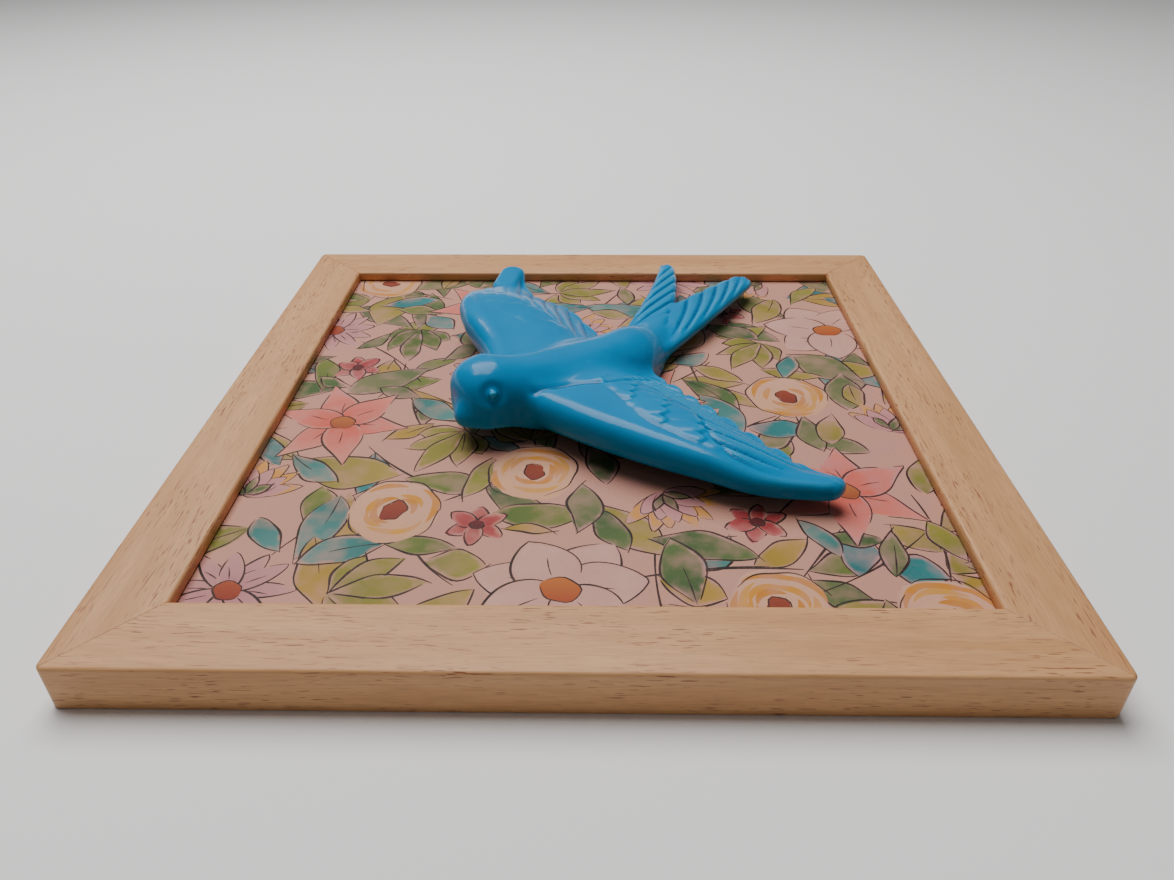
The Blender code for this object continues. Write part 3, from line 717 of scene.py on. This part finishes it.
# Each wing at these places out from the body: its leading and trailing edge, and the height of each. Then
# where its section ends, the middle of the lobe that makes its end, how far that is flat, and how deep the
# feathers are. The left wing is the one nearer the viewer, and the right wing is bent further back at the
# wrist.
WING_OUT = (0, 22, 44, 62, 76, 87)
LEFT_WING = {
    "lead": (8.0, 13.8, 22.0, 31.3, 40.0, 52.4),
    "trail": (51.0, 51.0, 50.5, 51.8, 53.0, 54.2),
    "lead_height": (10.0, 10.3, 10.0, 8.9, 6.8, 6.2),
    "trail_height": (6.4, 5.4, 6.1, 5.1, 5.2, 6.0),
    "tip": 84.6,
    "tip_end": (52.4, 85.0, 6.1),
    "tip_flat": 0.5,
    "carved": 1.0,
}
RIGHT_WING = {
    "lead": (6.0, 15.6, 19.5, 28.3, 46.8, 58.5),
    "trail": (50.0, 51.8, 55.0, 52.5, 56.2, 60.5),
    "lead_height": (10.0, 11.5, 13.6, 10.6, 4.2, 7.0),
    "trail_height": (6.4, 6.5, 6.0, 5.0, 4.6, 6.6),
    "tip": 82.0,
    "tip_end": (56.6, 83.6, 6.6),
    "tip_flat": 2.2,
    "carved": 0.35,
}
LEAD_ROLL = (6.2, 6.1, 5.5, 4.5, 3.2, 2.6)
TRAIL_THIN = 1.5
TIP_THICK = 2.5
TIP_BLEND = 1.6
TIP_RUN = 8.0
EDGE_BLUNT = 2.4
CAMBER = (3.3, 2.6, 0.1)
WING_ROOT_BLEND = 3.2
TAIL_ROOT_BLEND = 4.0
FORK_BLEND = 2.0
UNDER_ROUND = 1.2

# The groove round the upper arm at these places along s: how far out from the middle of the back, and its
# depth
ARM_S = (5, 12, 20, 28, 34, 42, 51)
ARM_OUT = (11.0, 12.0, 14.3, 18.8, 20.3, 19.6, 17.0)
ARM_GROOVE = 0.6

# The fork of the tail: where each half starts, which way it points, its length, bow, half widths and heights
LEFT_FORK = {"start": (58.9, -7.4), "turn": -16.3, "length": 73.0, "bow": 1.0, "wide": (9.2, 8.0, 4.1)}
RIGHT_FORK = {"start": (59.5, -9.0), "turn": -41.5, "length": 70.5, "bow": 3.0, "wide": (8.2, 5.9, 2.9)}
FORK_HEIGHT = (3.6, 6.6, 5.7)
FORK_THICK = (2.3, 1.5)

# Carving fades in between these places out from the body, and out between these lengths from the tip
CARVE_FROM = (12, 20)
CARVE_TO_TIP = (20, 4)
# Long quills: how far apart, how deep, how far they lean outwards for each step back, near the body and at
# the tip, how far behind the leading edge they start, and how far their ends stand out of the trailing edge
QUILL_PITCH = 8.4
QUILL_DEPTH = 1.25
QUILL_LEAN = (1.9, 1.5)
QUILL_START = (25, 24, 17.0, 2.5, 0.5, 0.5)
QUILL_NOTCH = 1.1
# Short feathers: how wide and long, how high, how far they lean, how far behind the leading edge they start,
# and between which places out from the body they end
SCALE_PITCH = (5.4, 8.4)
SCALE_DEPTH = 1.0
SCALE_LEAN = 1.4
SCALE_START = (14, 11, 2.5, 0, 0, 0)
SCALE_TO = (60, 66)
# Barbs of the tail: how far apart, how deep, how far they slant back for each step in and how much they bend
BARB_PITCH = 12.5
BARB_DEPTH = 1.3
BARB_SLANT = (4.2, 0.1)


def blend(a, b, reach):
    """The lower of two distances, rounded over where they come within reach of each other."""
    share = np.clip(0.5 + 0.5 * (b - a) / reach, 0, 1)
    return b * (1 - share) + a * share - reach * share * (1 - share)


def ramp(start, end, x):
    """0 before start, 1 after end, and smooth between."""
    share = np.clip((x - start) / (end - start), 0, 1)
    return share * share * (3 - 2 * share)


def along(x, places, values):
    """A smooth curve through the values at the places, level with the neighbours' slope at each."""
    places = np.asarray(places, float)
    values = np.asarray(values, float)
    slopes = np.gradient(values, places)
    x = np.clip(x, places[0], places[-1])
    i = np.clip(np.searchsorted(places, x, side="right") - 1, 0, len(places) - 2)
    width = places[i + 1] - places[i]
    p = (x - places[i]) / width
    return (
        (2 * p**3 - 3 * p**2 + 1) * values[i]
        + (p**3 - 2 * p**2 + p) * width * slopes[i]
        + (3 * p**2 - 2 * p**3) * values[i + 1]
        + (p**3 - p**2) * width * slopes[i + 1]
    )


def ball(s, t, h, centre, radius):
    """Distance outside a ball."""
    return np.sqrt((s - centre[0])**2 + (t - centre[1])**2 + (h - centre[2])**2) - radius


def ridges(turns):
    """Round ridges with a narrow groove between them, one to each whole turn, fuller towards its front."""
    part = (turns - np.floor(turns))**0.8
    return 1 - np.abs(2 * part - 1)**2.4


def scales(across, back):
    """Rows of round feathers, each row set half a feather aside and rising to its end over the row behind."""
    round_end = 0.8
    height = 0
    for row in (np.floor(back) - 1, np.floor(back), np.floor(back) + 1):
        aside = across - 0.5 * np.mod(row, 2)
        aside = aside - np.round(aside)
        past = back - row
        on_it = ramp(-0.16, 0.12, round_end - np.sqrt(aside**2 + past**2))
        dome = 1 - 0.5 * (aside / round_end)**2
        height = np.maximum(height, on_it * dome * (0.15 + 0.45 * (1 + past / round_end)))
    return height


def body(s, t, h):
    """A round body carried along a bent line, its head end a blunt half ball, steeper below its middle."""
    middle = along(s, BODY_S, BODY_HEIGHT)
    steep = BODY_STEEP[0] + (BODY_STEEP[1] - BODY_STEEP[0]) * ramp(5, 20, s)
    rise = np.where(h > middle, h - middle, (middle - h) * steep) / BODY_FLAT
    aside = t - along(s, BODY_S, BODY_ASIDE)
    before = np.maximum(-s, 0)
    after = np.maximum(s - BODY_S[-1], 0)
    round_it = np.sqrt(aside**2 + rise**2 + after**2)
    tube = (round_it**HEAD_BLUNT + before**HEAD_BLUNT)**(1 / HEAD_BLUNT) - along(s, BODY_S, BODY_RADIUS)
    # the end of the back feathers, lying over the root of the tail
    back_end = RUMP_EDGE[0] + RUMP_EDGE[1] * aside - RUMP_EDGE[2] * aside**2
    over_tail = (1 - ramp(back_end - 0.4, back_end + 0.4, s)) * ramp(RUMP_EDGE[0] - 18, RUMP_EDGE[0] - 4, s)
    return tube - RUMP_STEP * over_tail


def head_details(d, s, t, h):
    """The beak, and on each side an eye in a soft hollow."""
    d = blend(d, ball(s, t, h, BEAK, BEAK_RADIUS), 2 * BEAK_RADIUS)
    for eye in EYES:
        off = ball(s, t, h, eye, 0)
        d = d + 0.55 * np.exp(-(((off - 2.6) / 1.3)**2)) + 0.25 * np.exp(-((off / 5.0)**2))
        d = blend(d, off - EYE_RADIUS + 0.7, 0.4)
    return d


def wing(s, out, h, shape):
    """A rolled leading edge thinning to the trailing edge, carried out from the body to a round tip."""
    tip = shape["tip"]
    v = np.minimum(out, tip)
    lead = along(out, WING_OUT, shape["lead"])
    trail = along(out, WING_OUT, shape["trail"])
    lean = QUILL_LEAN[0] + (QUILL_LEAN[1] - QUILL_LEAN[0]) * ramp(20, 75, v)
    quill = (v - lean * (np.minimum(s, trail) - 50)) / QUILL_PITCH
    part = quill - np.floor(quill)
    on_wing = ramp(*CARVE_FROM, v) * (1 - ramp(tip - CARVE_TO_TIP[0], tip - CARVE_TO_TIP[1], v))
    notch = QUILL_NOTCH * shape["carved"] * (2 * part - 1)**4 * on_wing
    width = np.maximum(trail - lead - notch, 0.5)
    share = np.clip((s - lead) / width, 0, 1)
    roll = along(v, WING_OUT, LEAD_ROLL)
    thin = TRAIL_THIN + (TIP_THICK - TRAIL_THIN) * ramp(tip - 10, tip, v)
    front = along(v, WING_OUT, shape["lead_height"])
    rear = along(v, WING_OUT, shape["trail_height"])
    crown = 16 * share**2 * (1 - share)**2 * along(v, (0, 45, 90), CAMBER)
    middle = front + (rear - front) * share + crown
    thick = roll + (thin - roll) * share**1.3
    off = (np.abs(s - lead - share * width), np.abs(h - middle), out - v)
    d = sum(part**EDGE_BLUNT for part in off)**(1 / EDGE_BLUNT) - thick
    # carving on the upper side: long quills to the trailing edge, and rows of short feathers in front of them
    behind = s - lead
    upper = ramp(-0.5, 1.5, h - middle)
    start = along(v, WING_OUT, QUILL_START)
    quills = (ridges(quill) - 0.4) * QUILL_DEPTH * ramp(start, start + 1.2, behind)
    steep = math.atan(SCALE_LEAN)
    over = (v * math.cos(steep) - behind * math.sin(steep)) / SCALE_PITCH[0]
    back = (v * math.sin(steep) + behind * math.cos(steep)) / SCALE_PITCH[1]
    first = along(v, WING_OUT, SCALE_START)
    short = scales(over, back) * SCALE_DEPTH * (1 - ramp(*SCALE_TO, v))
    short = short * ramp(first, first + 2.5, behind) * (1 - ramp(start - 0.5, start + 1.0, behind))
    d = d - upper * (quills + short) * on_wing * shape["carved"]
    # a round flat lobe makes the end, drawn inward along the leading edge
    s_end, out_end, h_end = shape["tip_end"]
    inward = np.clip((s_end - s + out_end - out) / (2 * TIP_RUN), 0, 1) * TIP_RUN
    aside = np.sqrt((s - s_end + inward)**2 + (out - out_end + inward)**2)
    aside = np.maximum(aside - shape["tip_flat"], 0)
    return blend(d, np.sqrt(aside**2 + (h - h_end)**2) - TIP_THICK, TIP_BLEND)


def fork(s, t, h, shape, inner):
    """A flat blade with a round end, bowed a little, with barbs slanting from its outer to its inner edge."""
    turn = math.radians(shape["turn"])
    forward = (s - shape["start"][0]) * math.cos(turn) + (t - shape["start"][1]) * math.sin(turn)
    aside = (t - shape["start"][1]) * math.cos(turn) - (s - shape["start"][0]) * math.sin(turn)
    share = np.clip(forward / shape["length"], 0, 1)
    aside = aside - shape["bow"] * 4 * share * (1 - share)
    wide = along(share, (0, 0.45, 1), shape["wide"])
    middle = along(share, (0, 0.5, 1), FORK_HEIGHT)
    thick = FORK_THICK[0] + (FORK_THICK[1] - FORK_THICK[0]) * share
    past = np.maximum(forward - (shape["length"] - wide), 0)
    before = np.maximum(-forward, 0)
    flat = np.maximum(np.sqrt(aside**2 + past**2) - (wide - thick), 0)
    d = np.sqrt(flat**2 + (h - middle)**2 + before**2) - thick
    inward = inner * aside
    slant = forward - BARB_SLANT[0] * (inward + wide) + BARB_SLANT[1] * (inward + wide)**2
    barbs = (ridges(slant / BARB_PITCH) - 0.4) * BARB_DEPTH * ramp(-0.4, 1.0, h - middle)
    barbs = barbs * ramp(0.16, 0.3, share) * (1 - 0.7 * ramp(0.8, 1, share))
    barbs = barbs * ramp(-wide * 0.95, -wide * 0.55, inward) * (1 - 0.6 * ramp(wide * 0.5, wide, inward))
    return d - barbs


def swallow(s, t, h):
    """How far a point lies outside the swallow, below zero inside it."""
    d = head_details(body(s, t, h), s, t, h)
    left = wing(s, np.maximum(t, 0), h, LEFT_WING)
    left = np.where(t < 0, np.maximum(left, -t), left)
    right = wing(s, np.maximum(-t, 0), h, RIGHT_WING)
    right = np.where(t > 0, np.maximum(right, t), right)
    d = blend(d, np.minimum(left, right), WING_ROOT_BLEND)
    tail = blend(fork(s, t, h, LEFT_FORK, -1), fork(s, t, h, RIGHT_FORK, 1), FORK_BLEND)
    d = blend(d, tail, TAIL_ROOT_BLEND)
    # a groove round the upper arm of the left wing
    side = t - along(s, BODY_S, BODY_ASIDE) - along(s, ARM_S, ARM_OUT)
    groove = np.exp(-((side / 1.1)**2)) * ramp(ARM_S[0] - 1, ARM_S[1] - 4, s) * (1 - ramp(46, 53, s))
    d = d + ARM_GROOVE * groove * ramp(8, 11, h) * ramp(-2, 2, t)
    under = HEAD_UNDER * (1 - ramp(*NECK_S, s))
    return -blend(-d, h - under, UNDER_ROUND)


def placed_swallow(x, y, z):
    """The same for points in millimetres in the part's own frame."""
    x, y = x - HEAD_PLACE[0], y - HEAD_PLACE[1]
    cos, sin = math.cos(BODY_TURN), math.sin(BODY_TURN)
    return swallow(x * cos + y * sin, x * sin - y * cos, z - SEAT)


def fill_crossings(value, cell):
    """Fills each face of the grid whose corners are in and out by turns, where two surfaces would meet."""
    for first, second in ((0, 1), (0, 2), (1, 2)) * 3:
        plane = np.moveaxis(value, (first, second), (0, 1))
        inside = plane < 0
        corner, opposite = inside[:-1, :-1], inside[1:, 1:]
        beside, across = inside[1:, :-1], inside[:-1, 1:]
        by_turns = (corner == opposite) & (beside == across) & (corner != beside)
        rows, columns = by_turns.shape[:2]
        for i, j in ((0, 0), (1, 0), (0, 1), (1, 1)):
            part = plane[i:rows + i, j:columns + j]
            part[by_turns] = np.minimum(part[by_turns], -0.05 * cell)


def skin(field, low, high, cell):
    """A closed mesh round the places where the field is below zero: its points and its four-sided faces.

    The box from low to high is cut into cells, and the field is evened out between neighbours, so that no
    detail is finer than a cell. Each cell that the surface passes through gets one point, the mean of where
    the surface crosses the cell's edges, and each crossed edge gets one face between the four cells round it.
    """
    low = np.asarray(low, float)
    axes = [np.arange(low[i], high[i] + cell, cell) for i in range(3)]
    value = field(*np.meshgrid(*axes, indexing="ij"))
    for axis in range(3):
        value = (np.roll(value, 1, axis) + 2 * value + np.roll(value, -1, axis)) / 4
    fill_crossings(value, cell)
    cells = tuple(n - 1 for n in value.shape)
    total = np.zeros(cells + (3,))
    hits = np.zeros(cells)
    crossings = []
    for axis in range(3):
        first = np.moveaxis(value, axis, 0)[:-1]
        second = np.moveaxis(value, axis, 0)[1:]
        crossed = (first < 0) != (second < 0)
        i, j, k = np.nonzero(crossed)
        part = first[i, j, k] / (first[i, j, k] - second[i, j, k])
        others = [a for a in range(3) if a != axis]
        node = np.zeros((len(i), 3), int)
        node[:, axis], node[:, others[0]], node[:, others[1]] = i, j, k
        point = low + node * cell
        point[:, axis] += part * cell
        around = []
        for back in ((1, 1), (0, 1), (0, 0), (1, 0)):
            corner = node.copy()
            corner[:, others[0]] -= back[0]
            corner[:, others[1]] -= back[1]
            around.append(corner)
            np.add.at(total, tuple(corner.T), point)
            np.add.at(hits, tuple(corner.T), 1)
        flipped = (first[i, j, k] < 0) ^ (axis == 1)
        crossings.append((np.stack(around, 1), flipped))
    number = np.full(cells, -1)
    used = hits > 0
    number[used] = np.arange(used.sum())
    points = total[used] / hits[used][:, None]
    faces = []
    for around, flipped in crossings:
        quad = number[around[..., 0], around[..., 1], around[..., 2]]
        quad[~flipped] = quad[~flipped][:, ::-1]
        faces.append(quad)
    return points, np.concatenate(faces)


def settle(field, points, cell, rounds=3):
    """Moves the points onto the surface, each along the field's slope, by less than half a cell a round."""
    probe = cell * 0.1
    for _ in range(rounds):
        slope = np.stack([
            field(*(points + step).T) - field(*(points - step).T) for step in np.eye(3) * probe
        ], 1) / (2 * probe)
        off = field(*points.T)[:, None] / np.maximum((slope**2).sum(1), 0.25)[:, None]
        points = points - np.clip(off * slope, -cell / 2, cell / 2)
    return points


SKIN_CELL = 0.6
SKIN_MARGIN = 3.0
low, high = np.array(swallow_low) / MM - SKIN_MARGIN, np.array(swallow_high) / MM + SKIN_MARGIN
points, faces = skin(placed_swallow, low, high, SKIN_CELL)
points = settle(placed_swallow, points, SKIN_CELL)
points[:, 2] = np.clip(points[:, 2], SEAT, swallow_high.z / MM)


def turquoise_glaze():
    """A thick glossy earthenware glaze: saturated where it lies even, darker in grooves and paler on ridges,
    partly as pooled and thinned glaze and partly as painted shade and painted highlight, with a slow drift
    in its colour and a soft ripple in its surface."""
    glaze, shader = new_material("turquoise_earthenware_glaze")
    place = add(glaze, "ShaderNodeTexCoord").outputs["Object"]
    pool_and_shade = add(glaze, "ShaderNodeAttribute", attribute_name="pool_and_shade").outputs["Fac"]
    # each pattern's size in millimetres, and its detail
    cloud, ripple = (
        add(glaze, "ShaderNodeTexNoise", {"Vector": place, "Scale": 1 / (size * MM),
                                          "Detail": detail}).outputs[0]
        for size, detail in ((16.67, 2.0), (5.26, 1.0)))
    tone = add(glaze, "ShaderNodeMapRange", {"Value": cloud, "From Min": 0.35, "From Max": 0.65,
                                             "To Min": 0.0, "To Max": 0.35})
    even = add(glaze, "ShaderNodeMix", {0: tone.outputs[0], 6: colour("#0086BE"), 7: colour("#0078AC")},
               data_type="RGBA")
    # darker where the surface is hollow: pooled glaze, and painted shade
    deep = add(glaze, "ShaderNodeMapRange", {"Value": pool_and_shade, "From Min": 0.05, "From Max": 0.5, "To Max": 0.8})
    pooled_and_shaded = add(glaze, "ShaderNodeMix", {0: deep.outputs[0], 6: even.outputs[2], 7: colour("#03507F")},
                  data_type="RGBA")
    # paler where the surface is round: thin glaze, and painted highlight
    thin = add(glaze, "ShaderNodeMapRange", {"Value": pool_and_shade, "From Min": -0.1, "From Max": -0.6,
                                             "To Max": 0.45})
    thinned_and_highlit = add(glaze, "ShaderNodeMix", {0: thin.outputs[0], 6: pooled_and_shaded.outputs[2], 7: colour("#4FB6DA")},
                 data_type="RGBA")
    link(glaze, thinned_and_highlit.outputs[2], shader.inputs["Base Color"])
    bump = add(glaze, "ShaderNodeBump", {"Height": ripple, "Strength": 0.35, "Distance": 0.4 * MM})
    link(glaze, bump.outputs[0], shader.inputs["Normal"])
    link(glaze, bump.outputs[0], shader.inputs["Coat Normal"])
    shader.inputs["Roughness"].default_value = 0.3
    shader.inputs["Specular IOR Level"].default_value = 0.1
    shader.inputs["Coat Weight"].default_value = 0.28
    shader.inputs["Coat IOR"].default_value = 1.42
    shader.inputs["Coat Roughness"].default_value = 0.11
    return glaze


def pooling_and_shade(points, reach=1.1):
    """How hollow the surface is at each point: the fall of the mean distance over a small cross round it.
    The glaze uses it for pooled glaze and painted shade in the grooves, and for thin glaze and painted
    highlight on the ridges.
    """
    steps = np.concatenate([np.eye(3), -np.eye(3)]) * reach
    mean = np.mean([placed_swallow(*(points + step).T) for step in steps], 0)
    return -mean / reach * 3


bird = new_piece("glazed_swallow", points, faces.tolist(), turquoise_glaze())
# how hollow each point is, for the painted shade in the grooves and the painted highlight on the ridges
keep_values(bird, "pool_and_shade", "FLOAT", "POINT", pooling_and_shade(points))
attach(bird, "root")
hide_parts("swallow")


# The floor is plain and pale. The light is that of a white studio: a soft lamp above and a little behind the
# panel, so that the frame's front and the swallow's near side fall into shade, and a weak even light from
# all round.

floor_mesh = bpy.data.meshes.new("floor")
floor_mesh.from_pydata([(-3, -3, 0), (3, -3, 0), (3, 3, 0), (-3, 3, 0)], [], [(0, 1, 2, 3)])
floor_finish, floor_shader = new_material("pale_paper")
floor_shader.inputs["Base Color"].default_value = colour("#FBFAF9")
floor_shader.inputs["Roughness"].default_value = 0.9
floor_mesh.materials.append(floor_finish)
floor = bpy.data.objects.new("floor", floor_mesh)
bpy.context.scene.collection.objects.link(floor)


LAMP_AT = (-0.2, 0.35, 0.98)
LAMP_SIZE = 0.8
LAMP_POWER = 15.0
DOME_STRENGTH = 0.12


def stand(thing, side, up, away, place):
    """Puts a lamp or camera at a place, with its own axes along side, up and away."""
    axes = np.stack([side, up, away], 1)
    thing.matrix_world = Matrix([(*row, p) for row, p in zip(axes, place)] + [(0, 0, 0, 1)])
    bpy.context.scene.collection.objects.link(thing)


lamp = bpy.data.lights.new("key_lamp", "AREA")
lamp.size = LAMP_SIZE
lamp.energy = LAMP_POWER
away = np.array(LAMP_AT) / np.linalg.norm(LAMP_AT)
side = np.cross((0, 1, 0.01), away)
side /= np.linalg.norm(side)
stand(bpy.data.objects.new("key_lamp", lamp), side, np.cross(away, side), away, LAMP_AT)
world = bpy.data.worlds.new("studio")
world.use_nodes = True
dome = world.node_tree.nodes["Background"]
dome.inputs["Color"].default_value = colour("#FFFFFF")
dome.inputs["Strength"].default_value = DOME_STRENGTH
bpy.context.scene.world = world


# The camera stands in front of the lower rail and looks down at the face, as in the photograph. Its place is
# a share of the frame's side, above the frame's front, and its lens is given by the focal length in the
# photo's pixels.

SIDE = 2 * FRAME_HALF * MM
CAMERA_AT = (0.0158 * SIDE, -1.0425 * SIDE, 0.6136 * SIDE + RAIL_DEPTH * MM)
YAW, PITCH, ROLL = (math.radians(a) for a in (-1.03, 33.62, 0.29))
PHOTO_WIDTH = 1174
FOCAL_LENGTH = 880.4
ahead = np.array([math.sin(YAW) * math.cos(PITCH), math.cos(YAW) * math.cos(PITCH), -math.sin(PITCH)])
level = np.array([math.cos(YAW), -math.sin(YAW), 0.0])
down = np.cross(ahead, level)
right = math.cos(ROLL) * level + math.sin(ROLL) * down
below = -math.sin(ROLL) * level + math.cos(ROLL) * down
lens = bpy.data.cameras.new("camera")
lens.sensor_width = 36.0
lens.lens = lens.sensor_width * FOCAL_LENGTH / PHOTO_WIDTH
lens.clip_start = 0.01
camera = bpy.data.objects.new("camera", lens)
stand(camera, right, -below, -ahead, CAMERA_AT)
bpy.context.scene.camera = camera
